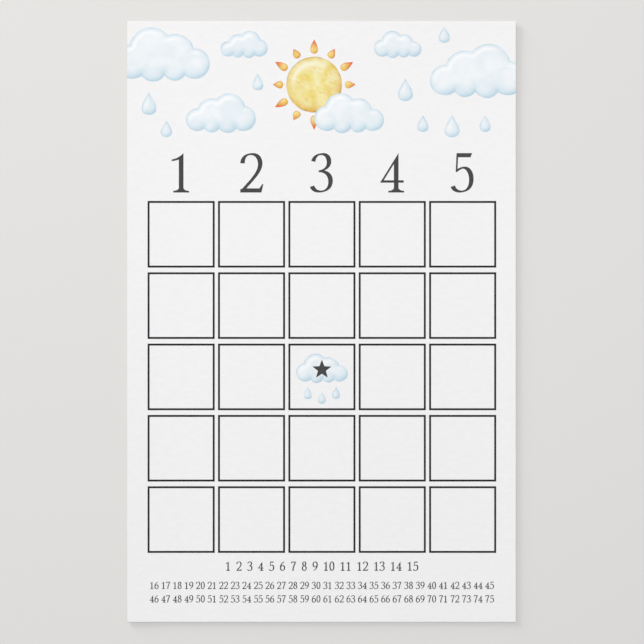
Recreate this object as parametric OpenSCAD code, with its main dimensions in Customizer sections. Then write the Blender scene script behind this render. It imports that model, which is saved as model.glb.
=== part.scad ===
// Printed game card: a half-letter sheet of three-ply card stock with a five by five grid of squares.
// The card lies on its back at Z = 0, face up, and its heading points towards +Y.
// Each printed figure is a thin film of ink that is bonded to the front ply.

/* [Card stock] */
// Thickness of the smooth front ply
face_ply_t = 0.08; // [0.04:0.01:0.2]
// Thickness of the middle ply
core_ply_t = 0.19; // [0.08:0.01:0.6]
// Thickness of the back ply
back_ply_t = 0.08; // [0.04:0.01:0.2]
// Blank border on the left of the grid
left_margin = 7.32; // [5:0.02:20]
// Blank border on the right of the grid
right_margin = 7.08; // [5:0.02:20]
// Blank border under the last row of small numbers
bottom_margin = 7; // [4:0.1:20]
// Thickness of the ink film
ink_t = 0.02; // [0.01:0.005:0.05]

/* [Grid] */
// Outer width of one square
square_w = 24.1; // [20:0.1:32]
// Outer height of one square
square_h = 23.94; // [20:0.02:32]
// Width of the line around a square
line_w = 0.7; // [0.3:0.01:1.5]
// Gap between neighbouring columns
column_gap = 1.2; // [0.6:0.1:5]
// Gap between neighbouring rows
row_gap = 1.7; // [0.6:0.1:5]

/* [Column numerals] */
// Height of a column numeral
numeral_h = 14.16; // [9:0.02:18]
// Thick stroke of a column numeral
numeral_thick = 1.65; // [1:0.05:2]
// Thin stroke of a column numeral
numeral_thin = 0.6; // [0.4:0.05:1]
// Gap between the grid and the foot of the numerals
numeral_gap = 3.05; // [1:0.05:8]

/* [Small numbers] */
// Height of the digits in the first row
first_row_h = 3.3; // [2.4:0.1:3.6]
// Gap between neighbouring numbers in the first row
first_number_gap = 1.8; // [0.8:0.1:3]
// Height of the digits in the other rows
small_row_h = 2.6; // [2:0.1:3]
// Thick stroke of those digits
small_thick = 0.35; // [0.2:0.01:0.4]
// Thin stroke of those digits
small_thin = 0.17; // [0.1:0.01:0.2]
// Gap between the grid and the first row
first_row_gap = 3.14; // [1.5:0.01:8]
// Gap between the first row and the second
second_row_gap = 3.95; // [1:0.05:8]
// Gap between the second row and the last
last_row_gap = 2.25; // [0.8:0.05:6]

/* [Picture band] */
// Height of the band between the numerals and the top edge
band_h = 47.35; // [44:0.05:70]
// Diameter of the sun's disc
sun_d = 20; // [14:0.5:22]
// Gap between the sun's disc and its rays
ray_gap = 1.1; // [0.5:0.1:2]
// Length of a long ray
long_ray = 5.2; // [4:0.1:6.5]
// Length of a short ray
short_ray = 3.8; // [2.5:0.1:6]
// Width of a ray
ray_w = 2.7; // [1.5:0.1:3]
// Width of a large cloud
large_cloud = 34; // [26:0.5:36]
// Width of a middle cloud
middle_cloud = 25; // [20:0.5:27]
// Width of a small cloud
small_cloud = 17; // [12:0.5:19]
// Height of a large raindrop
large_drop = 8; // [6:0.1:9]
// Height of a small raindrop
small_drop = 6; // [4:0.1:7]

/* [Free square] */
// Width of the cloud in the middle square
free_cloud_w = 18.5; // [12:0.5:19]
// Outer radius of the star on that cloud
star_r = 3.6; // [2:0.1:4]
// Height of a raindrop under that cloud
free_drop = 4.4; // [3:0.1:5]

/* [Hidden] */
columns = 5;
rows = 5;
free_row = 3;
free_column = 3;
rays = 12;
star_points = 5;
star_waist = 0.42; // inner radius of the star as a share of its outer radius
drop_slimness = 0.66; // width of a raindrop as a share of its height
pen_angle = 14;    // tilt of the broad pen that gives the digits their thick and thin strokes
curve_steps = 10;  // straight steps along one curve of a column numeral
small_steps = 5;   // straight steps along one curve of a small digit
drop_steps = 32;   // straight steps round a drop
$fn = 96;

// Sizes that follow from the ones above
sheet_t = back_ply_t + core_ply_t + face_ply_t;
grid_w = columns * square_w + (columns - 1) * column_gap;
grid_h = rows * square_h + (rows - 1) * row_gap;
card_w = left_margin + grid_w + right_margin;
number_block_h = bottom_margin + small_row_h + last_row_gap + small_row_h + second_row_gap
    + first_row_h + first_row_gap;
card_h = number_block_h + grid_h + numeral_gap + numeral_h + band_h;

// Middle of the print, which needn't be the middle of the card
print_x = (left_margin - right_margin) / 2;

// Heights on the card, up from its bottom edge
last_row_y = -card_h / 2 + bottom_margin;
second_row_y = last_row_y + small_row_h + last_row_gap;
first_row_y = second_row_y + small_row_h + second_row_gap;
grid_y = first_row_y + first_row_h + first_row_gap;
numeral_y = grid_y + grid_h + numeral_gap;
band_y = numeral_y + numeral_h + band_h / 2;

// Distance between the middles of two digits of one number, as a share of their height
digit_pitch = 0.64;

// How many digits the numbers from the first one up to the one before n have
function digits_before(n, first) = max(0, min(n, 10) - first) + 2 * max(0, n - max(first, 10));

// Width of the digits of a row, without the gaps between its numbers
function digits_w(first, last, h) = digits_before(last + 1, first) * digit_pitch * h;

// Gap between the numbers of a row that reaches from one side of the grid to the other, inside its lines
function full_gap(first, last, h) = (grid_w - 2 * line_w - digits_w(first, last, h)) / (last - first);

// Small numbers: the first and last of each row, its foot, digit height and gap between numbers
number_rows = [
    [1, 15, first_row_y, first_row_h, first_number_gap],
    [16, 45, second_row_y, small_row_h, full_gap(16, 45, small_row_h)],
    [46, 75, last_row_y, small_row_h, full_gap(46, 75, small_row_h)],
];

// Picture band: places are shares of the way from the middle of the band to its sides
function in_band(place) = [print_x + place[0] * card_w / 2, band_y + place[1] * band_h / 2];

sun_at = [-0.04, 0.04];
cloud_places = [
    [[0.14, -0.42], middle_cloud, false],
    [[-0.82, 0.46], large_cloud, false],
    [[0.80, 0.21], large_cloud, true],
    [[-0.52, -0.42], middle_cloud, true],
    [[0.39, 0.63], small_cloud, false],
    [[-0.40, 0.63], small_cloud, true],
];
drop_places = [
    [[-0.89, -0.25], large_drop],
    [[-0.80, -0.63], small_drop],
    [[-0.33, 0.08], small_drop],
    [[0.43, -0.04], large_drop],
    [[0.52, -0.55], small_drop],
    [[0.67, -0.59], large_drop],
    [[0.84, -0.55], small_drop],
    [[0.63, 0.80], small_drop],
];

// Free square: places are shares of the way from the middle of the square to its sides
function in_free_square(place) =
    square_at(free_row, free_column) + [place[0] * square_w / 2, place[1] * square_h / 2];

free_cloud_at = [0, 0.22];
free_drop_places = [[-0.42, -0.48], [0, -0.62], [0.42, -0.48]];

// A cloud is a bunch of round lobes: middle and radius of each, as shares of the cloud's width
cloud_lobes = [
    [[-0.32, -0.05], 0.18],
    [[-0.12, 0.08], 0.23],
    [[0.13, 0.03], 0.21],
    [[0.34, -0.07], 0.16],
    [[-0.10, -0.12], 0.14],
    [[0.13, -0.12], 0.13],
];

function square_name(r, c) = str("square_r", r, "_c", c);
function numeral_name(c) = str("column_numeral_", c);
function cloud_name(i) = str("cloud_", i);
function drop_name(i) = str("raindrop_", i);
function free_drop_name(i) = str("free_drop_", i);
function row_name(i) = str("number_row_", i);

// Colours of the card stock and the inks
stock_colour = [0.96, 0.96, 0.96];
core_colour = [0.93, 0.92, 0.90];
line_colour = [0.19, 0.19, 0.19];
numeral_colour = [0.30, 0.30, 0.30];
number_colour = [0.36, 0.36, 0.36];
sun_colour = [0.93, 0.83, 0.45];
ray_colour = [0.92, 0.62, 0.30];
sky_colour = [0.82, 0.90, 0.94];

// Middle of a square, counted from the top left
function square_at(r, c) = [
    print_x + (c - (columns + 1) / 2) * (square_w + column_gap),
    grid_y + grid_h / 2 + ((rows + 1) / 2 - r) * (square_h + row_gap),
];

// Card stock

module ply(z, t)
    translate([-card_w / 2, -card_h / 2, z])
        cube([card_w, card_h, t]);

module back_ply() color(stock_colour) ply(0, back_ply_t);
module core_ply() color(core_colour) ply(back_ply_t, core_ply_t);
module face_ply() color(stock_colour) ply(back_ply_t + core_ply_t, face_ply_t);

// A film of ink on the front ply
module ink(tint)
    color(tint)
        translate([0, 0, sheet_t])
            linear_extrude(ink_t)
                children();

// A picture that runs off the card is trimmed at the card's edge
module trimmed()
    intersection() {
        children();
        square([card_w, card_h], center = true);
    }

// Grid

module square_frame(r, c)
    ink(line_colour)
        translate(square_at(r, c))
            difference() {
                square([square_w, square_h], center = true);
                square([square_w - 2 * line_w, square_h - 2 * line_w], center = true);
            }

// Digits, drawn as a broad pen draws them. Their points are shares of the digit's height.

function curve_point(p, t) =
    pow(1 - t, 3) * p[0] + 3 * t * pow(1 - t, 2) * p[1] + 3 * t * t * (1 - t) * p[2] + pow(t, 3) * p[3];

function curve_way(p, t) =
    pow(1 - t, 2) * (p[1] - p[0]) + 2 * t * (1 - t) * (p[2] - p[1]) + t * t * (p[3] - p[2]);

// Half the width of the pen's mark when the pen moves that way
function half_mark(way, thick, thin) =
    let (a = atan2(way[1], way[0]) - pen_angle)
    norm([thick * sin(a), thin * cos(a)]) / 2;

// One side of the mark along a row of curves that follow one another
function mark_side(path, thick, thin, steps, side) = [
    for (k = [0:len(path) - 1], i = [(k == 0 ? 0 : 1):steps])
        let (
            t = i / steps,
            way = curve_way(path[k], t),
            square_off = [-way[1], way[0]] / norm(way)
        )
        curve_point(path[k], t) + side * half_mark(way, thick, thin) * square_off
];

function reversed(points) = [for (i = [len(points) - 1:-1:0]) points[i]];

function straight(a, b) = [a, a + (b - a) / 3, b - (b - a) / 3, b];

// Curves from a point list, in which each curve starts at the end of the one before
function curves(points) = [
    for (i = [0:3:len(points) - 4]) [for (j = [0:3]) points[i + j]]
];

// A quarter of an oval is a curve whose handles are this share of its half axes
handle = 0.5523;

function oval(middle, half_x, half_y) =
    let (
        x = [half_x, 0],
        y = [0, half_y]
    )
    curves([
        for (q = [[x, y], [y, -x], [-x, -y], [-y, x]])
            each [middle + q[0], middle + q[0] + handle * q[1], middle + q[1] + handle * q[0]],
        middle + x
    ]);

module mark(path, thick, thin, steps)
    polygon(concat(
        mark_side(path, thick, thin, steps, -1),
        reversed(mark_side(path, thick, thin, steps, 1))
    ));

module round_mark(path, thick, thin, steps)
    difference() {
        polygon(mark_side(path, thick, thin, steps, -1));
        polygon(mark_side(path, thick, thin, steps, 1));
    }

// Foot of an upright stroke, with a hollow curve up to the stroke on both sides
module foot(x, thick, thin, steps) {
    half_w = 0.2;
    rise = 0.08;
    side = [
        for (i = [0:steps])
            let (a = 90 * i / steps)
            [thick / 2 + (half_w - thick / 2) * (1 - sin(a)), thin + rise * (1 - cos(a))]
    ];
    translate([x, 0])
        polygon(concat(
            [[half_w, 0]], side, reversed([for (p = side) [-p[0], p[1]]]), [[-half_w, 0]]
        ));
}

module digit_1(thick, thin, steps) {
    over = [[-0.24, 0.84], [-0.15, 0.85], [-0.05, 0.89], [thick / 2, 1]];
    under = [[-0.24, 0.84 - thin], [-0.16, 0.85 - thin], [-0.1, 0.86 - thin], [-thick / 2, 0.88 - thin]];
    polygon([
        [-thick / 2, 0.01], [thick / 2, 0.01], [thick / 2, 0.87], [-thick / 2, 0.87],
    ]);
    polygon(concat(
        [for (i = [0:steps]) curve_point(under, i / steps)],
        [[thick / 2, 0.88 - thin]],
        [for (i = [steps:-1:0]) curve_point(over, i / steps)]
    ));
    foot(0, thick, thin, steps);
}

module digit_2(thick, thin, steps) {
    mark(curves([
        [-0.23, 0.74], [-0.22, 0.92], [-0.11, 0.975], [0, 0.975],
        [0.15, 0.975], [0.22, 0.86], [0.22, 0.73],
        [0.22, 0.5], [-0.02, 0.3], [-0.235, 0.04],
    ]), thick, thin, steps);
    polygon([
        [-0.285, 0], [0.25, 0], [0.3, 0.21], [0.27, 0.21], [0.2, 0.105], [-0.19, 0.105], [-0.285, 0.085],
    ]);
}

module digit_3(thick, thin, steps) {
    mark(curves([
        [-0.22, 0.79], [-0.19, 0.92], [-0.1, 0.975], [0, 0.975],
        [0.12, 0.975], [0.18, 0.89], [0.18, 0.78],
        [0.18, 0.64], [0.06, 0.56], [-0.08, 0.54],
    ]), thick, thin, steps);
    mark(curves([
        [-0.08, 0.54], [0.12, 0.55], [0.22, 0.44], [0.22, 0.29],
        [0.22, 0.12], [0.1, 0.025], [-0.04, 0.025],
        [-0.14, 0.025], [-0.22, 0.07], [-0.25, 0.16],
    ]), thick, thin, steps);
}

module digit_4(thick, thin, steps) {
    left = 0.1 - thick / 2;
    right = 0.1 + thick / 2;
    tip = [-0.31, 0.25];
    slope = (1 - tip[1]) / (right - tip[0]);
    bar = 1.4 * thin;
    wide = 1.3 * thin;
    inside = left + 0.02;
    polygon([
        [left, 0.01], [right, 0.01], [right, 1], [left, 1 - slope * thick],
    ]);
    polygon([
        tip, tip + [wide, 0],
        [inside, 1 - slope * (right - inside + wide)], [inside, 1 - slope * (right - inside)],
    ]);
    polygon([
        tip, [0.29, tip[1]], [0.29, tip[1] + bar], tip + [bar / slope, bar],
    ]);
    foot(0.1, thick, thin, steps);
}

module digit_5(thick, thin, steps) {
    mark(curves([
        [-0.15, 0.555], [-0.08, 0.6], [-0.03, 0.63], [0.02, 0.63],
        [0.15, 0.63], [0.22, 0.5], [0.22, 0.33],
        [0.22, 0.13], [0.1, 0.025], [-0.04, 0.025],
        [-0.14, 0.025], [-0.22, 0.07], [-0.25, 0.16],
    ]), thick, thin, steps);
    mark([straight([-0.155, 0.52], [-0.135, 0.96])], thin, thin, 1);
    polygon([
        [-0.155, 0.895], [0.2, 0.895], [0.24, 1], [-0.155, 1],
    ]);
}

module digit_6(thick, thin, steps) {
    mark(curves([
        [0.2, 0.965], [0.02, 0.93], [-0.22, 0.72], [-0.22, 0.34],
        [-0.22, 0.14], [-0.12, 0.025], [0.01, 0.025],
    ]), thick, thin, steps);
    mark(curves([
        [-0.01, 0.025], [0.13, 0.025], [0.22, 0.14], [0.22, 0.31],
        [0.22, 0.48], [0.14, 0.58], [0.03, 0.58],
        [-0.08, 0.58], [-0.17, 0.51], [-0.22, 0.38],
    ]), thick, thin, steps);
}

module digit_7(thick, thin, steps) {
    polygon([
        [-0.26, 0.76], [-0.235, 0.76], [-0.19, 0.895], [0.26, 0.895], [0.27, 1], [-0.24, 1],
    ]);
    mark(curves([[0.22, 0.93], [0.1, 0.66], [-0.04, 0.36], [-0.05, 0]]), thick, thin, steps);
}

module digit_8(thick, thin, steps) {
    round_mark(oval([0, 0.765], 0.16, 0.21), thick, thin, steps);
    round_mark(oval([0, 0.28], 0.21, 0.255), thick, thin, steps);
}

module digit_9(thick, thin, steps)
    translate([0, 1])
        rotate(180)
            digit_6(thick, thin, steps);

module digit_0(thick, thin, steps)
    round_mark(oval([0, 0.5], 0.21, 0.475), thick, thin, steps);

// One digit on its foot, with its middle at x = 0
module digit(n, h, thick, thin, steps)
    scale([h, h]) {
        if (n == 0) digit_0(thick / h, thin / h, steps);
        if (n == 1) digit_1(thick / h, thin / h, steps);
        if (n == 2) digit_2(thick / h, thin / h, steps);
        if (n == 3) digit_3(thick / h, thin / h, steps);
        if (n == 4) digit_4(thick / h, thin / h, steps);
        if (n == 5) digit_5(thick / h, thin / h, steps);
        if (n == 6) digit_6(thick / h, thin / h, steps);
        if (n == 7) digit_7(thick / h, thin / h, steps);
        if (n == 8) digit_8(thick / h, thin / h, steps);
        if (n == 9) digit_9(thick / h, thin / h, steps);
    }

module column_numeral(c)
    ink(numeral_colour)
        translate([square_at(1, c)[0], numeral_y])
            digit(c, numeral_h, numeral_thick, numeral_thin, curve_steps);

module number(n, h) {
    pen = h / small_row_h;
    tens = floor(n / 10);
    offset_x = tens > 0 ? digit_pitch * h / 2 : 0;
    translate([offset_x, 0])
        digit(n % 10, h, pen * small_thick, pen * small_thin, small_steps);
    if (tens > 0)
        translate([-offset_x, 0])
            digit(tens, h, pen * small_thick, pen * small_thin, small_steps);
}

module number_row(i) {
    row = number_rows[i - 1];
    first = row[0];
    last = row[1];
    h = row[3];
    gap = row[4];
    left = print_x - (digits_w(first, last, h) + (last - first) * gap) / 2;
    ink(number_colour)
        for (n = [first:last])
            let (digits = digits_before(n, first) + (n < 10 ? 1 : 2) / 2)
                translate([left + digits * digit_pitch * h + (n - first) * gap, row[2]])
                    number(n, h);
}

// Picture band

module cloud_outline(w, flipped)
    for (lobe = cloud_lobes)
        translate([(flipped ? -1 : 1) * lobe[0][0], lobe[0][1]] * w)
            circle(lobe[1] * w);

module placed_cloud(place)
    translate(in_band(place[0]))
        cloud_outline(place[1], place[2]);

module cloud(i)
    ink(sky_colour)
        trimmed()
            placed_cloud(cloud_places[i - 1]);

// A drop is round below and drawn out to a point above. Its formula's half width peaks at drop_peak.
drop_peak = 0.714;

module drop_outline(h, w)
    polygon([
        for (i = [0:drop_steps - 1])
            let (a = 360 * i / drop_steps)
            [-w / 2 / drop_peak * sin(a) * pow(sin(a / 2), 1.4), h / 2 * cos(a)]
    ]);

module raindrop(i) {
    h = drop_places[i - 1][1];
    ink(sky_colour)
        translate(in_band(drop_places[i - 1][0]))
            drop_outline(h, drop_slimness * h);
}

// The sun stands behind the clouds, which cut it
module behind_clouds()
    difference() {
        children();
        for (place = cloud_places)
            placed_cloud(place);
    }

module sun_disc()
    ink(sun_colour)
        behind_clouds()
            translate(in_band(sun_at))
                circle(d = sun_d);

module sun_rays()
    ink(ray_colour)
        behind_clouds()
            translate(in_band(sun_at))
                for (i = [0:rays - 1])
                    rotate(i * 360 / rays)
                        translate([0, sun_d / 2 + ray_gap + (i % 2 == 0 ? long_ray : short_ray) / 2])
                            drop_outline(i % 2 == 0 ? long_ray : short_ray, ray_w);

// Free square

module star_outline()
    polygon([
        for (i = [0:2 * star_points - 1])
            let (
                a = 90 + i * 180 / star_points,
                r = i % 2 == 0 ? star_r : star_r * star_waist
            )
            r * [cos(a), sin(a)]
    ]);

module free_cloud()
    ink(sky_colour)
        translate(in_free_square(free_cloud_at))
            difference() {
                cloud_outline(free_cloud_w, false);
                star_outline();
            }

module free_star()
    ink(numeral_colour)
        translate(in_free_square(free_cloud_at))
            star_outline();

module free_raindrop(i)
    ink(sky_colour)
        translate(in_free_square(free_drop_places[i - 1]))
            drop_outline(free_drop, drop_slimness * free_drop);

back_ply();
core_ply();
face_ply();
for (r = [1:rows], c = [1:columns])
    square_frame(r, c);
for (c = [1:columns])
    column_numeral(c);
for (i = [1:len(number_rows)])
    number_row(i);
sun_disc();
sun_rays();
for (i = [1:len(cloud_places)])
    cloud(i);
for (i = [1:len(drop_places)])
    raindrop(i);
free_cloud();
free_star();
for (i = [1:len(free_drop_places)])
    free_raindrop(i);
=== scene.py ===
"""Looks of a printed game card: a gently curled sheet of card stock with toner lines and colour washes.

The frame holds each ply and each printed figure as a flat solid. Copies of them, cut fine enough to
bend, all follow one curl, and each copy gets the finish of the real thing.
"""

import logging
import math
from collections.abc import Sequence
from dataclasses import dataclass, field
from enum import Enum

import bmesh
import bpy
import numpy as np
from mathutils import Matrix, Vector, noise

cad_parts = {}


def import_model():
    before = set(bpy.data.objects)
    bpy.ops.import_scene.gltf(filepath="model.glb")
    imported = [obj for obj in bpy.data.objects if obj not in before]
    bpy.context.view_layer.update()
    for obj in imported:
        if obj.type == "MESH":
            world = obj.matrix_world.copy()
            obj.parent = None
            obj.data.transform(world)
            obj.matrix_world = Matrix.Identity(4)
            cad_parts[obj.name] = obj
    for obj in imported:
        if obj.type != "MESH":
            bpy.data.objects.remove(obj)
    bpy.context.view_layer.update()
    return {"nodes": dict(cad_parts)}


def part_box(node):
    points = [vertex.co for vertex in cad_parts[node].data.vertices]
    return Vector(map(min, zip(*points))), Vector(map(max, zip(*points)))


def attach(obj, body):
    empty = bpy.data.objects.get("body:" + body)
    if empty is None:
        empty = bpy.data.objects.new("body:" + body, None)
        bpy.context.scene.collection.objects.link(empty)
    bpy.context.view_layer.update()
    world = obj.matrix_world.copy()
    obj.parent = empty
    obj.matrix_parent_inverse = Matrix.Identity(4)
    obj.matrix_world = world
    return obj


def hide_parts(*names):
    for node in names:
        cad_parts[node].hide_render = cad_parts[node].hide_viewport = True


log = logging.getLogger("game_card")

MM = 0.001
BODY = "root"
SHARP_ANGLE = math.radians(40)
FLAT_ANGLE = math.radians(0.2)
SAME_PLACE = 1e-7

Colour = tuple[float, float, float, float]
Span = tuple[float, float]
Feed = bpy.types.NodeSocket | float | Sequence[float]


def tint(red: int, green: int, blue: int) -> Colour:
    """Turn a screen colour into the linear one that shaders take, by the standard screen curve.

    Args:
        red: Red, from 0 to 255.
        green: Green, from 0 to 255.
        blue: Blue, from 0 to 255.

    Returns:
        The linear colour with full alpha.
    """
    shares = [value / 255 for value in (red, green, blue)]
    straight = [s / 12.92 if s <= 0.04045 else ((s + 0.055) / 1.055) ** 2.4 for s in shares]
    return (*straight, 1.0)


# Black, towards which painted shade darkens the cut sides of the plies.
PAINTED_SHADE_BLACK = tint(0, 0, 0)


class Socket(Enum):
    """Kinds of socket on an effect group."""

    VALUE = "NodeSocketFloat"
    PLACE = "NodeSocketVector"


@dataclass
class Wiring:
    """Adds nodes to one node tree and joins them."""

    tree: bpy.types.NodeTree

    def add(self, kind: str) -> bpy.types.Node:
        """Add a node of that kind."""
        return self.tree.nodes.new(kind)

    def feed(self, socket: bpy.types.NodeSocket, value: Feed) -> None:
        """Join a socket to another one, or set it to a plain value.

        Args:
            socket: The input to feed.
            value: An output socket, a number or a colour.
        """
        if isinstance(value, bpy.types.NodeSocket):
            self.tree.links.new(value, socket)
        else:
            socket.default_value = value

    def maths(self, operation: str, *values: Feed, clamp: bool = False) -> bpy.types.NodeSocket:
        """Do one sum on values.

        Args:
            operation: The Math node's operation.
            values: Its inputs, in order.
            clamp: Whether the result is kept between 0 and 1.

        Returns:
            The result.
        """
        node = self.add("ShaderNodeMath")
        node.operation = operation
        node.use_clamp = clamp
        for socket, value in zip(node.inputs, values):
            self.feed(socket, value)
        return node.outputs["Value"]

    def places(self, operation: str, *values: Feed) -> bpy.types.NodeSocket:
        """Do one sum on places.

        Args:
            operation: The Vector Math node's operation.
            values: Its place inputs, in order.

        Returns:
            The resulting place.
        """
        node = self.add("ShaderNodeVectorMath")
        node.operation = operation
        for socket, value in zip(node.inputs, values):
            self.feed(socket, value)
        return node.outputs["Vector"]

    def ease(self, value: Feed, low: float, high: float) -> bpy.types.NodeSocket:
        """Go smoothly from 0 at the low value to 1 at the high one.

        Args:
            value: The value to read.
            low: Where the result leaves 0.
            high: Where it reaches 1.

        Returns:
            The eased value.
        """
        node = self.add("ShaderNodeMapRange")
        node.interpolation_type = "SMOOTHSTEP"
        self.feed(node.inputs["Value"], value)
        node.inputs["From Min"].default_value = low
        node.inputs["From Max"].default_value = high
        return node.outputs["Result"]

    def fade(self, distance: Feed, reach: Feed) -> bpy.types.NodeSocket:
        """Fall from 1 at no distance towards 0, by the factor e over each reach.

        Args:
            distance: How far away the point is.
            reach: The distance over which the value falls.

        Returns:
            The fading value.
        """
        share = self.maths("DIVIDE", distance, reach)
        return self.maths("EXPONENT", self.maths("MULTIPLY", share, -1.0))

    def speckle(
        self, place: Feed, size: Feed, detail: float = 2.0, bend: float = 0.0
    ) -> bpy.types.NodeSocket:
        """Make soft random spots.

        Args:
            place: Where the point is, in millimetres.
            size: Rough size of a spot, in millimetres.
            detail: How many finer layers there are.
            bend: How much the spots are pulled out of shape.

        Returns:
            A value of about 0.5, from 0 to 1.
        """
        node = self.add("ShaderNodeTexNoise")
        self.feed(node.inputs["Vector"], place)
        self.feed(node.inputs["Scale"], self.maths("DIVIDE", 1.0, size))
        node.inputs["Detail"].default_value = detail
        node.inputs["Distortion"].default_value = bend
        return node.outputs["Fac"]

    def drawn_out(self, place: Feed, way: float, slimness: float) -> bpy.types.NodeSocket:
        """Turn and squeeze places, so that spots made there are drawn out one way.

        Args:
            place: Where the point is, in millimetres.
            way: The direction in the sheet, in degrees.
            slimness: How many times longer than wide the spots become.

        Returns:
            The changed place.
        """
        turn = self.add("ShaderNodeVectorRotate")
        turn.rotation_type = "Z_AXIS"
        turn.inputs["Angle"].default_value = math.radians(way)
        self.feed(turn.inputs["Vector"], place)
        return self.places("MULTIPLY", turn.outputs["Vector"], (1.0, slimness, 1.0))

    def blend(self, share: Feed, under: Feed, over: Feed) -> bpy.types.NodeSocket:
        """Lay one colour over another.

        Args:
            share: How much of the upper colour covers.
            under: The lower colour.
            over: The upper colour.

        Returns:
            The blended colour.
        """
        node = self.add("ShaderNodeMix")
        node.data_type = "RGBA"
        # The node has sockets for each type of data, and these are the ones for colours.
        factor, lower, upper = node.inputs[0], node.inputs[6], node.inputs[7]
        self.feed(factor, share)
        self.feed(lower, under)
        self.feed(upper, over)
        return node.outputs[2]


class EffectGroup:
    """A shader node group for an effect that several finishes share."""

    def __init__(self, name: str, inputs: dict[str, Socket], outputs: Sequence[str]) -> None:
        """Make an empty group with its sockets.

        Args:
            name: The group's name.
            inputs: The kind of each input, by name.
            outputs: The names of the values that it puts out.
        """
        self.tree = bpy.data.node_groups.new(name, "ShaderNodeTree")
        for label, kind in inputs.items():
            self.tree.interface.new_socket(label, in_out="INPUT", socket_type=kind.value)
        for label in outputs:
            self.tree.interface.new_socket(label, in_out="OUTPUT", socket_type=Socket.VALUE.value)
        self.wiring = Wiring(self.tree)
        self.given = self.wiring.add("NodeGroupInput").outputs
        self.result = self.wiring.add("NodeGroupOutput").inputs

    def place(self, wiring: Wiring, **values: Feed) -> bpy.types.NodeOutputs:
        """Put the group into a material.

        Args:
            wiring: The material's wiring.
            values: A value for each input, with underscores for spaces in its name.

        Returns:
            The group's outputs there.
        """
        node = wiring.add("ShaderNodeGroup")
        node.node_tree = self.tree
        for label, value in values.items():
            wiring.feed(node.inputs[label.replace("_", " ")], value)
        return node.outputs


class PaperTooth(EffectGroup):
    """The small relief of uncoated paper: tooth, crossing fibres, and pulp drawn out across the sheet."""

    TOOTH_DETAIL = 4.0
    TOOTH_SHARE = 0.65
    FIBRE_WAYS = (12.0, 71.0, 133.0)
    FIBRE_SLIMNESS = 9.0
    FIBRE_LENGTH = 1.6
    FIBRE_DETAIL = 1.0
    FIBRE_BEND = 0.6
    FIBRE_WIDTH = 0.03
    FIBRE_SHARE = 0.35
    GRAIN_WAY = 0.0
    GRAIN_SLIMNESS = 2.2
    GRAIN_LENGTH = 3.0
    GRAIN_DETAIL = 3.0

    def __init__(self) -> None:
        """Build the group."""
        super().__init__(
            "paper_tooth",
            {"Place": Socket.PLACE, "Tooth Size": Socket.VALUE},
            ("Height", "Fibre", "Grain"),
        )
        w = self.wiring
        tooth = w.speckle(self.given["Place"], self.given["Tooth Size"], self.TOOTH_DETAIL)
        fibre = self.strands(self.FIBRE_WAYS[0])
        for way in self.FIBRE_WAYS[1:]:
            fibre = w.maths("MAXIMUM", fibre, self.strands(way))
        toothed = w.maths("MULTIPLY", tooth, self.TOOTH_SHARE)
        height = w.maths("MULTIPLY_ADD", fibre, self.FIBRE_SHARE, toothed)
        w.feed(self.result["Height"], height)
        w.feed(self.result["Fibre"], fibre)
        drawn = w.drawn_out(self.given["Place"], self.GRAIN_WAY, self.GRAIN_SLIMNESS)
        w.feed(self.result["Grain"], w.speckle(drawn, self.GRAIN_LENGTH, self.GRAIN_DETAIL))

    def strands(self, way: float) -> bpy.types.NodeSocket:
        """Make thin fibres that lie one way.

        Args:
            way: The direction in the sheet, in degrees.

        Returns:
            A value that is near 1 along the fibres.
        """
        w = self.wiring
        drawn = w.drawn_out(self.given["Place"], way, self.FIBRE_SLIMNESS)
        soft = w.speckle(drawn, self.FIBRE_LENGTH, self.FIBRE_DETAIL, self.FIBRE_BEND)
        from_middle = w.maths("ABSOLUTE", w.maths("SUBTRACT", soft, 0.5))
        return w.fade(from_middle, self.FIBRE_WIDTH)


class TonerCover(EffectGroup):
    """How fused toner covers paper: nearly solid, a little mottled, with pinholes."""

    DETAIL = 3.0
    PINHOLE_SIZE = 0.11
    PINHOLE_SPAN = (0.64, 0.78)
    MOTTLE_SIZE = 0.9

    def __init__(self) -> None:
        """Build the group."""
        super().__init__("toner_cover", {"Place": Socket.PLACE}, ("Pinhole", "Mottle"))
        w = self.wiring
        dots = w.speckle(self.given["Place"], self.PINHOLE_SIZE, self.DETAIL)
        w.feed(self.result["Pinhole"], w.ease(dots, *self.PINHOLE_SPAN))
        w.feed(self.result["Mottle"], w.speckle(self.given["Place"], self.MOTTLE_SIZE, self.DETAIL))


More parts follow.
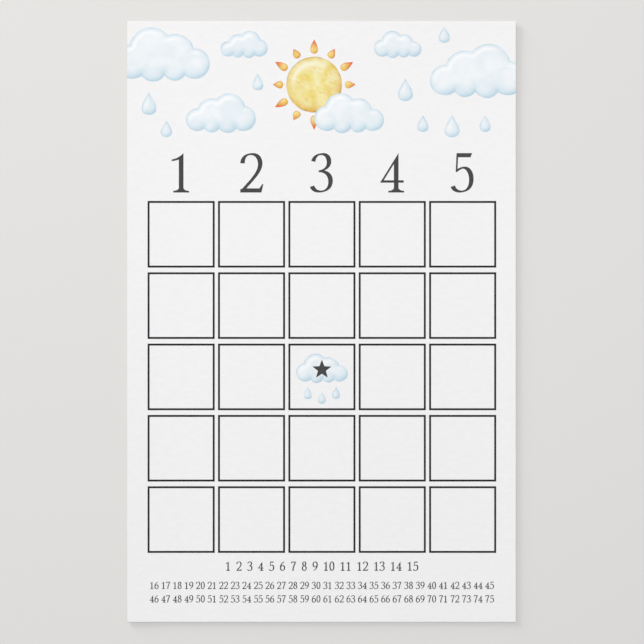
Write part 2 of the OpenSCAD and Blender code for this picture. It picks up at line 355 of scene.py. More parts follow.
class PigmentPool(EffectGroup):
    """Where pigment gathers in a wash: a line at its edge, a halo inside that, blooms, streaks and grain."""

    DETAIL = 3.0
    EDGE_SIZE = 1.6
    EDGE_WANDER = 0.5
    BREAK_SIZE = 3.5
    BREAK_SPAN = (0.25, 0.6)
    UNEVEN_SIZE = 5.0
    UNEVEN_SWING = 0.9
    UNEVEN_LEAST = 0.5
    BLOOM_BEND = 0.8
    BLOOM_SPAN = (0.35, 0.68)
    STROKE_WAY = 28.0
    STROKE_SLIMNESS = 2.4
    STROKE_SIZE = 4.5
    STROKE_BEND = 1.4
    STROKE_SPAN = (0.45, 0.7)
    GRAIN_SIZE = 0.28

    def __init__(self) -> None:
        """Build the group."""
        super().__init__(
            "pigment_pool",
            {
                "Place": Socket.PLACE,
                "Rim": Socket.VALUE,
                "Line Width": Socket.VALUE,
                "Halo Width": Socket.VALUE,
                "Bloom Size": Socket.VALUE,
            },
            ("Line", "Halo", "Bloom", "Streak", "Grain"),
        )
        w = self.wiring
        place = self.given["Place"]
        wander = w.maths("SUBTRACT", w.speckle(place, self.EDGE_SIZE, self.DETAIL), 0.5)
        strayed = w.maths("MULTIPLY_ADD", wander, self.EDGE_WANDER, self.given["Rim"])
        ragged = w.maths("MAXIMUM", strayed, 0.0)
        broken = w.ease(w.speckle(place, self.BREAK_SIZE), *self.BREAK_SPAN)
        line = w.maths("MULTIPLY", w.fade(ragged, self.given["Line Width"]), broken)
        patches = w.speckle(place, self.UNEVEN_SIZE)
        uneven = w.maths("MULTIPLY_ADD", patches, self.UNEVEN_SWING, self.UNEVEN_LEAST)
        halo = w.fade(ragged, w.maths("MULTIPLY", self.given["Halo Width"], uneven))
        blooms = w.speckle(place, self.given["Bloom Size"], self.DETAIL, self.BLOOM_BEND)
        stroke = w.drawn_out(place, self.STROKE_WAY, self.STROKE_SLIMNESS)
        streaks = w.speckle(stroke, self.STROKE_SIZE, self.DETAIL, self.STROKE_BEND)
        w.feed(self.result["Line"], line)
        w.feed(self.result["Halo"], halo)
        w.feed(self.result["Bloom"], w.ease(blooms, *self.BLOOM_SPAN))
        w.feed(self.result["Streak"], w.ease(streaks, *self.STROKE_SPAN))
        w.feed(self.result["Grain"], w.speckle(place, self.GRAIN_SIZE, self.DETAIL))


@dataclass
class Effects:
    """The effect groups, each built once."""

    tooth: PaperTooth = field(default_factory=PaperTooth)
    cover: TonerCover = field(default_factory=TonerCover)
    pool: PigmentPool = field(default_factory=PigmentPool)


class Surface:
    """A new material and its shader."""

    def __init__(self, name: str) -> None:
        """Make the material.

        Args:
            name: The material's name.
        """
        self.material = bpy.data.materials.new(name)
        self.material.use_nodes = True
        self.wiring = Wiring(self.material.node_tree)
        self.shader = self.material.node_tree.nodes["Principled BSDF"]

    def place(self) -> bpy.types.NodeSocket:
        """Give the place of each point in millimetres."""
        point = self.wiring.add("ShaderNodeTexCoord").outputs["Object"]
        return self.wiring.places("MULTIPLY", point, (1 / MM, 1 / MM, 1 / MM))

    def read(self, name: str) -> bpy.types.NodeSocket:
        """Read a value that the mesh holds at each point."""
        node = self.wiring.add("ShaderNodeAttribute")
        node.attribute_name = name
        return node.outputs["Fac"]

    def upright(self, span: Span) -> bpy.types.NodeSocket:
        """Tell the cut sides of a sheet from its faces.

        Args:
            span: How level the last of a side and the first of a face are, from 0 to 1.

        Returns:
            1 on the sides and 0 on the faces.
        """
        split = self.wiring.add("ShaderNodeSeparateXYZ")
        self.wiring.feed(split.inputs["Vector"], self.wiring.add("ShaderNodeTexCoord").outputs["Normal"])
        level = self.wiring.maths("ABSOLUTE", split.outputs["Z"])
        return self.wiring.maths("SUBTRACT", 1.0, self.wiring.ease(level, *span))

    def paint(self, colour: Feed) -> None:
        """Set the base colour."""
        self.wiring.feed(self.shader.inputs["Base Color"], colour)

    def polish(self, roughness: Feed, specular: float) -> None:
        """Set how the surface shines.

        Args:
            roughness: From 0, a mirror, to 1, chalk.
            specular: The level of the plain reflection.
        """
        self.wiring.feed(self.shader.inputs["Roughness"], roughness)
        self.shader.inputs["Specular IOR Level"].default_value = specular

    def raise_by(self, height: Feed, depth: float) -> None:
        """Give the surface a small relief.

        Args:
            height: The relief, from 0 to 1.
            depth: Its depth in metres.
        """
        bump = self.wiring.add("ShaderNodeBump")
        bump.inputs["Distance"].default_value = depth
        self.wiring.feed(bump.inputs["Height"], height)
        self.wiring.feed(self.shader.inputs["Normal"], bump.outputs["Normal"])


@dataclass(frozen=True)
class PaperFinish:
    """Uncoated card stock."""

    name: str
    white: Colour
    shade: Colour
    fibre: Colour
    fibre_share: float
    relief: float
    # The next two fields set the painted shade on the cut sides: how upright faces are told from level ones,
    # and how much darker the sides are painted.
    painted_cut_span: Span = (0.2, 0.7)
    painted_cut_shade: float = 0.30
    tooth_size: float = 0.30
    grain_span: Span = (0.35, 0.65)
    roughness: float = 0.74
    tooth_roughness: float = 0.14
    specular: float = 0.30

    def material(self, effects: Effects) -> bpy.types.Material:
        """Make the finish.

        Args:
            effects: The shared effect groups.

        Returns:
            The material.
        """
        surface = Surface(self.name)
        w, place = surface.wiring, surface.place()
        tooth = effects.tooth.place(w, Place=place, Tooth_Size=self.tooth_size)
        grained = w.blend(w.ease(tooth["Grain"], *self.grain_span), self.white, self.shade)
        threads = w.maths("MULTIPLY", tooth["Fibre"], self.fibre_share)
        sheet = w.blend(threads, grained, self.fibre)
        # Painted shade: the upright cut sides are darkened towards black by a fixed share, which stands in
        # for the shade that the cut fibres cast on each other.
        cut = w.maths("MULTIPLY", surface.upright(self.painted_cut_span), self.painted_cut_shade)
        surface.paint(w.blend(cut, sheet, PAINTED_SHADE_BLACK))
        rough = w.maths("MULTIPLY_ADD", tooth["Height"], self.tooth_roughness, self.roughness)
        surface.polish(rough, self.specular)
        surface.raise_by(tooth["Height"], self.relief)
        return surface.material


@dataclass(frozen=True)
class TonerFinish:
    """Fused toner on paper."""

    name: str
    ink: Colour
    thin_ink: Colour
    pinhole: Colour
    tooth_size: float = 0.22
    mottle_span: Span = (0.35, 0.75)
    pinhole_share: float = 0.5
    roughness: float = 0.42
    mottle_roughness: float = 0.25
    specular: float = 0.20
    relief: float = 5e-6

    def material(self, effects: Effects) -> bpy.types.Material:
        """Make the finish.

        Args:
            effects: The shared effect groups.

        Returns:
            The material.
        """
        surface = Surface(self.name)
        w, place = surface.wiring, surface.place()
        cover = effects.cover.place(w, Place=place)
        tooth = effects.tooth.place(w, Place=place, Tooth_Size=self.tooth_size)
        mottled = w.blend(w.ease(cover["Mottle"], *self.mottle_span), self.ink, self.thin_ink)
        bare = w.maths("MULTIPLY", cover["Pinhole"], self.pinhole_share)
        surface.paint(w.blend(bare, mottled, self.pinhole))
        rough = w.maths("MULTIPLY_ADD", cover["Mottle"], self.mottle_roughness, self.roughness)
        surface.polish(rough, self.specular)
        surface.raise_by(tooth["Height"], self.relief)
        return surface.material


@dataclass(frozen=True)
class WashFinish:
    """A printed wash of colour that is deeper at its edge."""

    name: str
    body: Colour
    pale: Colour
    deep: Colour
    shade: Colour
    line: Colour
    glow: Colour
    blush: Colour
    line_width: float
    halo_width: float
    bloom_size: float
    streak_share: float
    halo_span: Span = (-0.7, 0.9)
    halo_least: float = 0.3
    halo_swing: float = 0.65
    shade_span: Span = (0.25, 0.95)
    shade_share: float = 0.7
    line_share: float = 0.85
    arc_place: float = 1.1
    arc_width: float = 0.45
    arc_span: Span = (0.1, 0.8)
    arc_share: float = 0.85
    tip_span: Span = (0.35, 1.0)
    grain_span: Span = (0.5, 0.75)
    grain_share: float = 0.16
    tooth_size: float = 0.30
    roughness: float = 0.70
    tooth_roughness: float = 0.14
    specular: float = 0.30
    relief: float = 8e-6

    def material(self, effects: Effects) -> bpy.types.Material:
        """Make the finish.

        Args:
            effects: The shared effect groups.

        Returns:
            The material.
        """
        surface = Surface(self.name)
        w, place = surface.wiring, surface.place()
        rim = surface.read(Film.RIM)
        lee = surface.read(Film.LEE)
        pool = effects.pool.place(
            w,
            Place=place,
            Rim=rim,
            Line_Width=self.line_width,
            Halo_Width=self.halo_width,
            Bloom_Size=self.bloom_size,
        )
        colour = w.blend(pool["Bloom"], self.body, self.pale)
        colour = w.blend(w.maths("MULTIPLY", pool["Streak"], self.streak_share), colour, self.deep)
        sided = w.maths("MULTIPLY_ADD", w.ease(lee, *self.halo_span), self.halo_swing, self.halo_least)
        colour = w.blend(w.maths("MULTIPLY", pool["Halo"], sided), colour, self.deep)
        shadow = w.maths("MULTIPLY", pool["Halo"], w.ease(lee, *self.shade_span))
        colour = w.blend(w.maths("MULTIPLY", shadow, self.shade_share), colour, self.shade)
        colour = w.blend(self.crescent(w, rim, lee), colour, self.glow)
        colour = w.blend(w.maths("MULTIPLY", pool["Line"], self.line_share), colour, self.line)
        colour = w.blend(w.ease(surface.read(Film.REACH), *self.tip_span), colour, self.blush)
        grain = w.maths("MULTIPLY", w.ease(pool["Grain"], *self.grain_span), self.grain_share)
        surface.paint(w.blend(grain, colour, self.glow))
        tooth = effects.tooth.place(w, Place=place, Tooth_Size=self.tooth_size)
        rough = w.maths("MULTIPLY_ADD", tooth["Height"], self.tooth_roughness, self.roughness)
        surface.polish(rough, self.specular)
        surface.raise_by(tooth["Height"], self.relief)
        return surface.material

    def crescent(self, w: Wiring, rim: Feed, lee: Feed) -> bpy.types.NodeSocket:
        """Make the light arc that runs inside the edge on the sunny side.

        Args:
            w: The material's wiring.
            rim: Distance from the edge, in millimetres.
            lee: From -1 on the sunny side to 1 on the other.

        Returns:
            How much of the light arc shows.
        """
        off_centre = w.maths("SUBTRACT", rim, self.halo_width * self.arc_place)
        narrow = w.maths("DIVIDE", off_centre, self.halo_width * self.arc_width)
        band = w.maths("EXPONENT", w.maths("MULTIPLY", w.maths("POWER", narrow, 2.0), -1.0))
        sunny = w.ease(w.maths("MULTIPLY", lee, -1.0), *self.arc_span)
        return w.maths("MULTIPLY", w.maths("MULTIPLY", band, sunny), self.arc_share)


class Stock(Enum):
    """The three plies of the sheet, from the printed face down, with their slots and finishes."""

    FACE = (
        "face_ply",
        "card_face",
        PaperFinish(
            "face_paper",
            white=tint(246, 245, 246),
            shade=tint(244, 243, 244),
            fibre=tint(238, 237, 236),
            fibre_share=0.35,
            relief=9e-6,
        ),
    )
    CORE = (
        "core_ply",
        "card_core",
        PaperFinish(
            "core_pulp",
            white=tint(238, 235, 228),
            shade=tint(228, 224, 215),
            fibre=tint(210, 204, 192),
            fibre_share=0.6,
            relief=3e-5,
        ),
    )
    BACK = (
        "back_ply",
        "card_back",
        PaperFinish(
            "back_paper",
            white=tint(245, 244, 244),
            shade=tint(241, 240, 240),
            fibre=tint(236, 235, 233),
            fibre_share=0.4,
            relief=1.2e-5,
        ),
    )

    @property
    def node(self) -> str:
        """Name of the ply's node in the frame."""
        return self.value[0]

    @property
    def slot(self) -> str:
        """Name of its material slot in the record."""
        return self.value[1]

    @property
    def finish(self) -> PaperFinish:
        """Its finish."""
        return self.value[2]


class Ink(Enum):
    """The printed colours, with their slots and finishes."""

    LINE = (
        "line_ink",
        TonerFinish(
            "line_toner",
            ink=tint(18, 18, 19),
            thin_ink=tint(28, 28, 29),
            pinhole=tint(64, 64, 64),
        ),
    )
    NUMERAL = (
        "numeral_ink",
        TonerFinish(
            "numeral_toner",
            ink=tint(60, 60, 61),
            thin_ink=tint(69, 69, 70),
            pinhole=tint(104, 104, 104),
        ),
    )
    NUMBER = (
        "number_ink",
        TonerFinish(
            "number_toner",
            ink=tint(42, 42, 43),
            thin_ink=tint(54, 54, 55),
            pinhole=tint(88, 88, 88),
        ),
    )
    SKY = (
        "sky_ink",
        WashFinish(
            "sky_wash",
            body=tint(233, 240, 244),
            pale=tint(243, 246, 248),
            deep=tint(195, 219, 232),
            shade=tint(176, 206, 223),
            line=tint(158, 196, 216),
            glow=tint(251, 252, 253),
            blush=tint(233, 240, 244),
            line_width=0.22,
            halo_width=1.5,
            bloom_size=7.0,
            streak_share=0.06,
        ),
    )
    SUN = (
        "sun_ink",
        WashFinish(
            "sun_wash",
            body=tint(239, 220, 128),
            pale=tint(245, 239, 190),
            deep=tint(226, 183, 74),
            shade=tint(214, 148, 60),
            line=tint(172, 124, 52),
            glow=tint(251, 247, 222),
            blush=tint(239, 220, 128),
            line_width=0.24,
            halo_width=2.2,
            bloom_size=7.5,
            streak_share=0.35,
        ),
    )
    RAY = (
        "ray_ink",
        WashFinish(
            "ray_wash",
            body=tint(240, 208, 104),
            pale=tint(243, 222, 140),
            deep=tint(230, 168, 66),
            shade=tint(216, 122, 50),
            line=tint(200, 112, 46),
            glow=tint(248, 234, 180),
            blush=tint(226, 92, 50),
            line_width=0.16,
            halo_width=0.6,
            bloom_size=3.0,
            streak_share=0.3,
        ),
    )

    @property
    def slot(self) -> str:
        """Name of the material slot in the record."""
        return self.value[0]

    @property
    def finish(self) -> TonerFinish | WashFinish:
        """The finish."""
        return self.value[1]


class Palette:
    """Makes each finish once and hands it out."""

    def __init__(self) -> None:
        """Build the effect groups."""
        self.effects = Effects()
        self.made: dict[str, bpy.types.Material] = {}

    def dress(self, piece: bpy.types.Object, source: Stock | Ink) -> bpy.types.Object:
        """Give a piece its material.

        Args:
            piece: The piece.
            source: The ply or ink that it is made of.

        Returns:
            The same piece.
        """
        finish = source.finish
        if finish.name not in self.made:
            self.made[finish.name] = finish.material(self.effects)
        piece.data.materials.clear()
        piece.data.materials.append(self.made[finish.name])
        return piece


@dataclass(frozen=True)
class Curl:
    """The gentle curl of a card that lies loose: its edges lift a little, most at the left and top."""

    half_width: float
    half_height: float
    right_lift: float = 0.15 * MM
    bottom_lift: float = 0.10 * MM
    left_lift: float = 0.26 * MM
    top_lift: float = 0.30 * MM
    flat_share: float = 0.65
    roll_width: float = 0.20 * MM
    roll_depth: float = 0.02 * MM

    def bow(self, share: float) -> float:
        """Give the height of the curl, from 0 where the card lies flat to 1 at its edge."""
        return max(0.0, (share - self.flat_share) / (1 - self.flat_share)) ** 2

    def lift(self, x: float, y: float) -> float:
        """Give how far the sheet stands off what it lies on.

        Args:
            x: Place across the card.
            y: Place along the card.

        Returns:
            The height in metres.
        """
        across, along = x / self.half_width, y / self.half_height
        sides = self.right_lift * self.bow(across) + self.left_lift * self.bow(-across)
        ends = self.top_lift * self.bow(along) + self.bottom_lift * self.bow(-along)
        return math.hypot(sides, ends)

    def roll(self, x: float, y: float) -> float:
        """Give how far the blade that trimmed the card pressed its upper edge down.

        Args:
            x: Place across the card.
            y: Place along the card.

        Returns:
            The drop in metres.
        """
        inside = min(self.half_width - abs(x), self.half_height - abs(y))
        share = max(0.0, 1 - max(inside, 0.0) / self.roll_width)
        return self.roll_depth * (1 - math.sqrt(1 - share * share))


@dataclass
class CardSheet:
    """The sheet of card stock: three plies that follow one curl."""

    EDGE_STEPS = (0.0, 0.15, 0.4, 0.7, 1.0, 3.0)

    palette: Palette
    cell: float = 3.5 * MM
    curl: Curl = field(init=False)
    thickness: float = field(init=False)

    def __post_init__(self) -> None:
        """Take the card's size from the frame."""
        low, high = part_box(Stock.BACK.node)
        self.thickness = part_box(Stock.FACE.node)[1].z
        self.curl = Curl((high.x - low.x) / 2, (high.y - low.y) / 2)

    def lines(self, half: float) -> list[float]:
        """Give the places where the sheet is cut into cells, closer together at its edges.

        Args:
            half: Half of the card's width or height.

        Returns:
            The places, from one edge to the other.
        """
        steps = [self.curl.roll_width * share for share in self.EDGE_STEPS]
        count = round(2 * half / self.cell)
        inner = [half * (2 * i / count - 1) for i in range(1, count)]
        return [-half + s for s in steps] + inner + [half - s for s in reversed(steps)]

    @property
    def cuts(self) -> tuple[list[float], list[float]]:
        """The cell lines across and along the card."""
        return self.lines(self.curl.half_width), self.lines(self.curl.half_height)

    def bend(self, point: Vector) -> Vector:
        """Move a point of the flat card to where it lies on the curled one.

        Args:
            point: The point on the flat card.

        Returns:
            The point on the curled card.
        """
        rolled = self.curl.roll(point.x, point.y) * min(1.0, point.z / self.thickness) ** 2
        return Vector((point.x, point.y, point.z + self.curl.lift(point.x, point.y) - rolled))

    def build(self) -> list[bpy.types.Object]:
        """Build the plies.

        Returns:
            The pieces.
        """
        pieces = []
        for ply in Stock:
            low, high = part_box(ply.node)
            piece = self.slab(f"{ply.node}_sheet", low.z, high.z)
            adopt(piece, ply.node)
            pieces.append(self.palette.dress(piece, ply))
        return pieces

    def slab(self, name: str, bottom: float, top: float) -> bpy.types.Object:
        """Build one ply.

        Args:
            name: The piece's name.
            bottom: Height of its underside on the flat card.
            top: Height of its upper side.

        Returns:
            The piece.
        """
        across, along = self.cuts
        columns, rows = len(across), len(along)
        flat = [Vector((x, y, z)) for z in (bottom, top) for y in along for x in across]
        points = [self.bend(p) for p in flat]

        def at(level: int, row: int, column: int) -> int:
            """Give the number of a corner."""
            return (level * rows + row) * columns + column

        last_r, last_c = rows - 1, columns - 1
        faces = []
        for r in range(last_r):
            for c in range(last_c):
                faces.append([at(1, r, c), at(1, r, c + 1), at(1, r + 1, c + 1), at(1, r + 1, c)])
                faces.append([at(0, r, c), at(0, r + 1, c), at(0, r + 1, c + 1), at(0, r, c + 1)])
        for c in range(last_c):
            faces.append([at(0, 0, c), at(0, 0, c + 1), at(1, 0, c + 1), at(1, 0, c)])
            faces.append([at(0, last_r, c + 1), at(0, last_r, c), at(1, last_r, c), at(1, last_r, c + 1)])
        for r in range(last_r):
            faces.append([at(0, r + 1, 0), at(0, r, 0), at(1, r, 0), at(1, r + 1, 0)])
            faces.append([at(0, r, last_c), at(0, r + 1, last_c), at(1, r + 1, last_c), at(1, r, last_c)])
        mesh = bpy.data.meshes.new(name)
        mesh.from_pydata(points, [], faces)
        return show(name, mesh)


def show(name: str, mesh: bpy.types.Mesh) -> bpy.types.Object:
    """Put a mesh into the scene with smooth faces and sharp edges.

    Args:
        name: The piece's name.
        mesh: Its mesh.

    Returns:
        The piece.
    """
    mesh.shade_smooth()
    mesh.set_sharp_from_angle(angle=SHARP_ANGLE)
    piece = bpy.data.objects.new(name, mesh)
    bpy.context.scene.collection.objects.link(piece)
    return piece


def adopt(piece: bpy.types.Object, node: str) -> None:
    """Let a piece stand for a node and move with the card.

    Args:
        piece: The piece.
        node: The node that it stands for.
    """
    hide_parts(node)
    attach(piece, BODY)


def flat_copy(source: bpy.types.Object) -> bmesh.types.BMesh:
    """Copy a flat figure of the frame, with its corners joined and its flat sides whole.

    Args:
        source: The figure.

    Returns:
        The copy.
    """
    mesh = bmesh.new()
    mesh.from_mesh(source.data)
    bmesh.ops.remove_doubles(mesh, verts=mesh.verts[:], dist=SAME_PLACE)
    bmesh.ops.dissolve_limit(mesh, angle_limit=FLAT_ANGLE, verts=mesh.verts[:], edges=mesh.edges[:])
    mesh.normal_update()
    return mesh


@dataclass
class Outline:
    """The edge of a printed figure seen from above, as an array of straight stretch, end and x or y."""

    LEAST = 0.01 * MM
    LEVEL = 0.001 * MM
    UPWARD = 0.5

    stretches: np.ndarray

    @classmethod
    def of(cls, mesh: bmesh.types.BMesh) -> "Outline":
        """Find the upper edge of a flat figure.

        Args:
            mesh: The figure.

        Returns:
            Its outline.
        """
        top = max(v.co.z for v in mesh.verts)
        ends = [
            [v.co.xy for v in edge.verts]
            for edge in mesh.edges
            if all(v.co.z > top - cls.LEVEL for v in edge.verts)
            and sorted(f.normal.z > cls.UPWARD for f in edge.link_faces) == [False, True]
        ]
        return cls(np.array(ends, float))

    def nearest(self, points: np.ndarray) -> tuple[np.ndarray, np.ndarray]:
        """Find how far points are from the outline, and on which side of the figure they lie.

        Args:
            points: The points' x and y.

        Returns:
            The distance of each, and the mean way from it to the stretches close by, which is short
            where stretches on both sides are as close.
        """
        start, way = self.stretches[:, 0], self.stretches[:, 1] - self.stretches[:, 0]
        length = np.maximum(np.linalg.norm(way, axis=1), self.LEAST)
        gap = points[:, None, :] - start[None, :, :]
        share = np.clip((gap * way).sum(axis=2) / length**2, 0, 1)
        to_foot = start + share[:, :, None] * way - points[:, None, :]
        far = np.linalg.norm(to_foot, axis=2)
        floored = np.maximum(far, self.LEAST)
        pull = length / floored**4
        mean = ((pull / floored)[:, :, None] * to_foot).sum(axis=1) / pull.sum(axis=1)[:, None]
        return far.min(axis=1), mean


@dataclass
class Film:
    """One printed figure, bent to lie on the curled sheet."""

    RIM = "rim"
    LEE = "lee"
    REACH = "reach"
    SUN_SIDE = Vector((-0.55, 0.83))
    NEAR = 0.01 * MM
    SLACK = 1e-8

    node: str
    sheet: CardSheet
    source: bpy.types.Object

    def build(self) -> bpy.types.Object:
        """Build the figure.

        Returns:
            The piece.
        """
        mesh = flat_copy(self.source)
        self.cut(mesh, self.sheet.cuts)
        return self.lay(mesh)

    def cut(self, mesh: bmesh.types.BMesh, places: tuple[Sequence[float], Sequence[float]]) -> None:
        """Cut the figure along lines across and along the card.

        Args:
            mesh: The figure.
            places: Where the lines are, in x and in y.
        """
        for axis, lines in enumerate(places):
            reach = [v.co[axis] for v in mesh.verts]
            low, high = min(reach) + self.NEAR, max(reach) - self.NEAR
            normal = Vector((axis == 0, axis == 1, 0))
            for line in lines:
                if low < line < high:
                    bmesh.ops.bisect_plane(
                        mesh,
                        geom=mesh.verts[:] + mesh.edges[:] + mesh.faces[:],
                        dist=self.SLACK,
                        plane_co=normal * line,
                        plane_no=normal,
                    )

    def lay(self, mesh: bmesh.types.BMesh) -> bpy.types.Object:
        """Bend the figure with the sheet and put it into the scene.

        Args:
            mesh: The flat figure.

        Returns:
            The piece.
        """
        for vert in mesh.verts:
            vert.co = self.sheet.bend(vert.co)
        data = bpy.data.meshes.new(f"{self.node}_print")
        mesh.to_mesh(data)
        mesh.free()
        piece = show(data.name, data)
        adopt(piece, self.node)
        return piece


@dataclass
class WashFilm(Film):
    """A printed wash, whose colour follows the distance from its edge."""

    TOUCHING = 3 * Film.NEAR
    FIRST_LINE = 0.37
    BATCH = 1500
    # The noise for y is read this far from that for x, so that the two differ.
    ASIDE = Vector((31.7, 17.3, 5.1))

    in_front: tuple[bpy.types.Object, ...] = ()
    step: float = 0.6 * MM
    waver: float = 0.10 * MM
    waver_size: float = 2.5 * MM
    middle: Vector | None = None
    inner: float = 0.0
    outer: float = 1.0

    def build(self) -> bpy.types.Object:
        """Build the wash with its edge distances.

        Returns:
            The piece.
        """
        mesh = flat_copy(self.source)
        outline = self.own_edge(Outline.of(mesh))
        self.cut(mesh, self.sheet.cuts)
        self.cut(mesh, self.fine_lines(mesh))
        self.mark(mesh, outline)
        for vert in mesh.verts:
            self.wander(vert.co)
        return self.lay(mesh)

    def fine_lines(self, mesh: bmesh.types.BMesh) -> tuple[list[float], list[float]]:
        """Give close lines over the whole figure.

        Args:
            mesh: The figure.

        Returns:
            The lines' places in x and in y.
        """
        lines = []
        for axis in (0, 1):
            reach = [v.co[axis] for v in mesh.verts]
            count = math.ceil((max(reach) - min(reach)) / self.step)
            lines.append([min(reach) + (i + self.FIRST_LINE) * self.step for i in range(count)])
        return lines[0], lines[1]

    def own_edge(self, outline: Outline) -> Outline:
        """Leave out the stretches where the card is trimmed or another figure lies in front.

        Args:
            outline: The whole outline.

        Returns:
            The stretches where the wash itself ends.
        """
        curl = self.sheet.curl
        ends = outline.stretches
        trimmed = np.all(np.abs(ends[:, :, 0]) > curl.half_width - self.NEAR, axis=1)
        trimmed |= np.all(np.abs(ends[:, :, 1]) > curl.half_height - self.NEAR, axis=1)
        for figure in self.in_front:
            cover = flat_copy(figure)
            far, _ = Outline.of(cover).nearest(ends.reshape(-1, 2))
            cover.free()
            trimmed |= np.all(far.reshape(-1, 2) < self.TOUCHING, axis=1)
        return Outline(ends[~trimmed])

    def mark(self, mesh: bmesh.types.BMesh, outline: Outline) -> None:
        """Write the edge distance and the side of the figure on each of its points.

        Args:
            mesh: The figure.
            outline: The stretches where the wash ends.
        """
        rim, lee, reach = [mesh.verts.layers.float.new(name) for name in (self.RIM, self.LEE, self.REACH)]
        verts = mesh.verts[:]
        points = np.array([v.co.xy for v in verts], float)
        for first in range(0, len(points), self.BATCH):
            far, ways = outline.nearest(points[first : first + self.BATCH])
            for vert, distance, way in zip(verts[first:], far, ways):
                vert[rim] = distance / MM
                vert[lee] = -Vector(way).dot(self.SUN_SIDE)
                vert[reach] = self.way_out(vert.co.xy)
        for vert in verts:
            others = [edge.other_vert(vert) for edge in vert.link_edges]
            beside = [other[lee] for other in others if other[rim] > self.NEAR / MM]
            if vert[rim] <= self.NEAR / MM and beside:
                vert[lee] = sum(beside) / len(beside)

    def way_out(self, point: Vector) -> float:
        """Give how far out a point lies, from 0 at the inner radius to 1 at the outer."""
        if self.middle is None:
            return 0.0
        return ((point - self.middle).length - self.inner) / (self.outer - self.inner)

    def wander(self, point: Vector) -> None:
        """Move a point a little, as a brush wavers.

        Args:
            point: The point, which is changed in place.
        """
        flat = Vector((point.x, point.y, 0)) / self.waver_size
        shift = Vector((noise.noise(flat), noise.noise(flat + self.ASIDE))) * self.waver
        curl = self.sheet.curl
        point.x = min(max(point.x + shift.x, -curl.half_width), curl.half_width)
        point.y = min(max(point.y + shift.y, -curl.half_height), curl.half_height)


@dataclass
class Printing:
    """What every printed sub-assembly needs: the frame's figures, the sheet and the palette."""

    figures: dict[str, bpy.types.Object]
    sheet: CardSheet
    palette: Palette

    def named(self, start: str) -> list[str]:
        """List the figures whose names start that way."""
        return sorted(name for name in self.figures if name.startswith(start))

    def toner(self, node: str, ink: Ink) -> bpy.types.Object:
        """Print a figure in toner.

        Args:
            node: The figure.
            ink: Its ink.

        Returns:
            The piece.
        """
        return self.palette.dress(Film(node, self.sheet, self.figures[node]).build(), ink)

    def wash(self, node: str, ink: Ink, **details: object) -> bpy.types.Object:
        """Print a figure as a wash.

        Args:
            node: The figure.
            ink: Its ink.
            details: Other fields of the film.

        Returns:
            The piece.
        """
        return self.palette.dress(WashFilm(node, self.sheet, self.figures[node], **details).build(), ink)


@dataclass
class PlayGrid(Printing):
    """The square outlines that the player fills."""

    def build(self) -> list[bpy.types.Object]:
        """Print the squares."""
        return [self.toner(node, Ink.LINE) for node in self.named("square_")]


@dataclass
class ColumnHeads(Printing):
    """The large numerals over the columns."""

    def build(self) -> list[bpy.types.Object]:
        """Print the numerals."""
        return [self.toner(node, Ink.NUMERAL) for node in self.named("column_numeral_")]


@dataclass
class NumberRows(Printing):
    """The rows of small numbers under the grid."""

    def build(self) -> list[bpy.types.Object]:
        """Print the rows."""
        return [self.toner(node, Ink.NUMBER) for node in self.named("number_row_")]


@dataclass
class SkyPicture(Printing):
    """The picture band: a sun behind clouds, with raindrops."""

    drop_step: float = 0.35 * MM
    ray_step: float = 0.35 * MM

    def build(self) -> list[bpy.types.Object]:
        """Print the picture.

        Returns:
            The pieces.
        """
        clouds = self.named("cloud_")
        covers = tuple(self.figures[name] for name in clouds)
        pieces = [self.wash("sun_disc", Ink.SUN, in_front=covers), self.rays(covers)]
        pieces += [self.wash(node, Ink.SKY) for node in clouds]
        pieces += [self.wash(node, Ink.SKY, step=self.drop_step) for node in self.named("raindrop_")]
        return pieces

    def rays(self, covers: tuple[bpy.types.Object, ...]) -> bpy.types.Object:
        """Print the rays, which redden from the disc outwards.

        Args:
            covers: The figures that lie in front of them.

        Returns:
            The piece.
        """
        low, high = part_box("sun_disc")
        radius = (high.x - low.x) / 2
        middle = Vector(((low.x + high.x) / 2, high.y - radius))
        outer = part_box("sun_rays")[1].y - middle.y
        return self.wash(
            "sun_rays",
            Ink.RAY,
            in_front=covers,
            step=self.ray_step,
            middle=middle,
            inner=radius,
            outer=outer,
        )


@dataclass
class FreeSquare(Printing):
    """The picture in the middle square."""

    cloud_step: float = 0.4 * MM
    drop_step: float = 0.3 * MM

    def build(self) -> list[bpy.types.Object]:
        """Print the cloud, the star on it and the drops under it.

        Returns:
            The pieces.
        """
        star = self.figures["free_star"]
        pieces = [
            self.wash("free_cloud", Ink.SKY, in_front=(star,), step=self.cloud_step),
            self.toner("free_star", Ink.NUMERAL),
        ]
        pieces += [self.wash(node, Ink.SKY, step=self.drop_step) for node in self.named("free_drop_")]
        return pieces


@dataclass(frozen=True)
class Lamp:
    """One soft box, which surfaces mirror or not."""

    name: str
    watts: float
    size: float
    place: Vector
    mirrored: bool

    def build(self) -> None:
        """Hang the lamp and point it at the card."""
        light = bpy.data.lights.new(self.name, "AREA")
        light.energy = self.watts
        light.size = self.size
        lamp = bpy.data.objects.new(self.name, light)
        lamp.location = self.place
        lamp.visible_glossy = self.mirrored
        lamp.rotation_euler = (-self.place).to_track_quat("-Z", "Y").to_euler()
        bpy.context.scene.collection.objects.link(lamp)


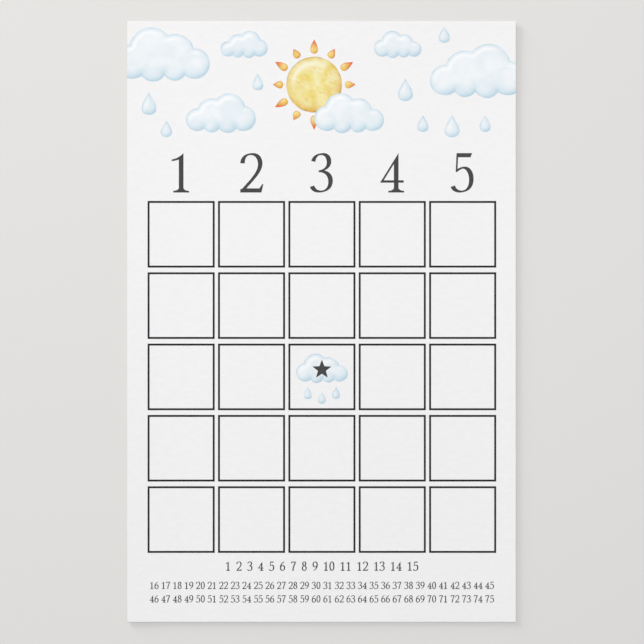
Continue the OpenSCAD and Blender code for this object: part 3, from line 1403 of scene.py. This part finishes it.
@dataclass
class Studio:
    """The pale floor, which fades into a backdrop, the lamps and the camera that looks straight down."""

    view_width: float = 231.5 * MM
    view_middle: tuple[float, float] = (0.16 * MM, -0.12 * MM)
    view_height: float = 0.45 * MM
    lens: float = 100.0
    sensor: float = 36.0
    floor_size: float = 4.0
    floor_gap: float = 0.02 * MM
    floor_colour: Colour = tint(226, 225, 223)
    floor_roughness: float = 0.9
    floor_specular: float = 0.2
    backdrop: Colour = tint(221, 220, 218)
    fade_start: float = 0.17
    fade_end: float = 0.42
    ambient: float = 0.415
    lamps: tuple[Lamp, ...] = (
        Lamp("overhead", 4.20, 1.0, Vector((0.0, 0.16, 0.8)), mirrored=True),
        Lamp("key", 34.0, 0.40, Vector((-1.3, 1.25, 0.27)), mirrored=False),
    )

    def build(self) -> None:
        """Set up the studio."""
        bpy.context.scene.view_settings.view_transform = "Standard"
        self.lay_floor()
        self.light_room()
        for lamp in self.lamps:
            lamp.build()
        self.aim_camera()

    def lay_floor(self) -> None:
        """Lay the floor under the card."""
        half = self.floor_size / 2
        corners = [(-half, -half), (half, -half), (half, half), (-half, half)]
        mesh = bpy.data.meshes.new("floor")
        mesh.from_pydata([(x, y, -self.floor_gap) for x, y in corners], [], [(0, 1, 2, 3)])
        floor = bpy.data.objects.new("floor", mesh)
        bpy.context.scene.collection.objects.link(floor)
        surface = Surface("floor_paint")
        surface.paint(self.floor_colour)
        surface.polish(self.floor_roughness, self.floor_specular)
        self.fade_out(surface)
        mesh.materials.append(surface.material)

    def fade_out(self, surface: Surface) -> None:
        """Let the floor far from the card look like the backdrop, so that no horizon shows.

        Args:
            surface: The floor's material.
        """
        w = surface.wiring
        away = w.add("ShaderNodeVectorMath")
        away.operation = "LENGTH"
        w.feed(away.inputs["Vector"], w.add("ShaderNodeTexCoord").outputs["Object"])
        far = w.ease(away.outputs["Value"], self.fade_start, self.fade_end)
        glow = w.add("ShaderNodeEmission")
        w.feed(glow.inputs["Color"], self.backdrop)
        mix = w.add("ShaderNodeMixShader")
        shares, near, beyond = mix.inputs
        w.feed(shares, w.maths("MULTIPLY", far, self.on_show(w)))
        w.feed(near, surface.shader.outputs["BSDF"])
        w.feed(beyond, glow.outputs["Emission"])
        w.feed(surface.material.node_tree.nodes["Material Output"].inputs["Surface"], mix.outputs["Shader"])

    @staticmethod
    def on_show(wiring: Wiring) -> bpy.types.NodeSocket:
        """Tell the rays that show the room from those that only light it.

        Args:
            wiring: The wiring of the floor or the room.

        Returns:
            1 for what the camera, a gloss or a clear thing shows, and 0 for light.
        """
        path = wiring.add("ShaderNodeLightPath").outputs
        mirrored = wiring.maths("MAXIMUM", path["Is Glossy Ray"], path["Is Transmission Ray"])
        return wiring.maths("MAXIMUM", path["Is Camera Ray"], mirrored)

    def light_room(self) -> None:
        """Fill the room with even light, behind which the backdrop shows."""
        world = bpy.data.worlds.new("room")
        world.use_nodes = True
        w = Wiring(world.node_tree)
        light = (self.ambient, self.ambient, self.ambient, 1.0)
        sky = world.node_tree.nodes["Background"]
        w.feed(sky.inputs["Color"], w.blend(self.on_show(w), light, self.backdrop))
        bpy.context.scene.world = world

    def aim_camera(self) -> None:
        """Hang the camera over the card so that its view has the photograph's width."""
        data = bpy.data.cameras.new("camera")
        data.lens = self.lens
        data.sensor_width = self.sensor
        camera = bpy.data.objects.new("camera", data)
        camera.location = (*self.view_middle, self.view_height + self.view_width * self.lens / self.sensor)
        bpy.context.scene.collection.objects.link(camera)
        bpy.context.scene.camera = camera


def main() -> None:
    """Build the card and the studio in order, and report each piece."""
    logging.basicConfig(level=logging.INFO, format="%(name)s: %(message)s")
    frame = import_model()
    palette = Palette()
    sheet = CardSheet(palette)
    pieces = sheet.build()
    for printing in (PlayGrid, ColumnHeads, NumberRows, SkyPicture, FreeSquare):
        pieces += printing(frame["nodes"], sheet, palette).build()
    for piece in pieces:
        log.info("%s has %d points", piece.name, len(piece.data.vertices))
    Studio().build()


if __name__ == "__main__":
    main()
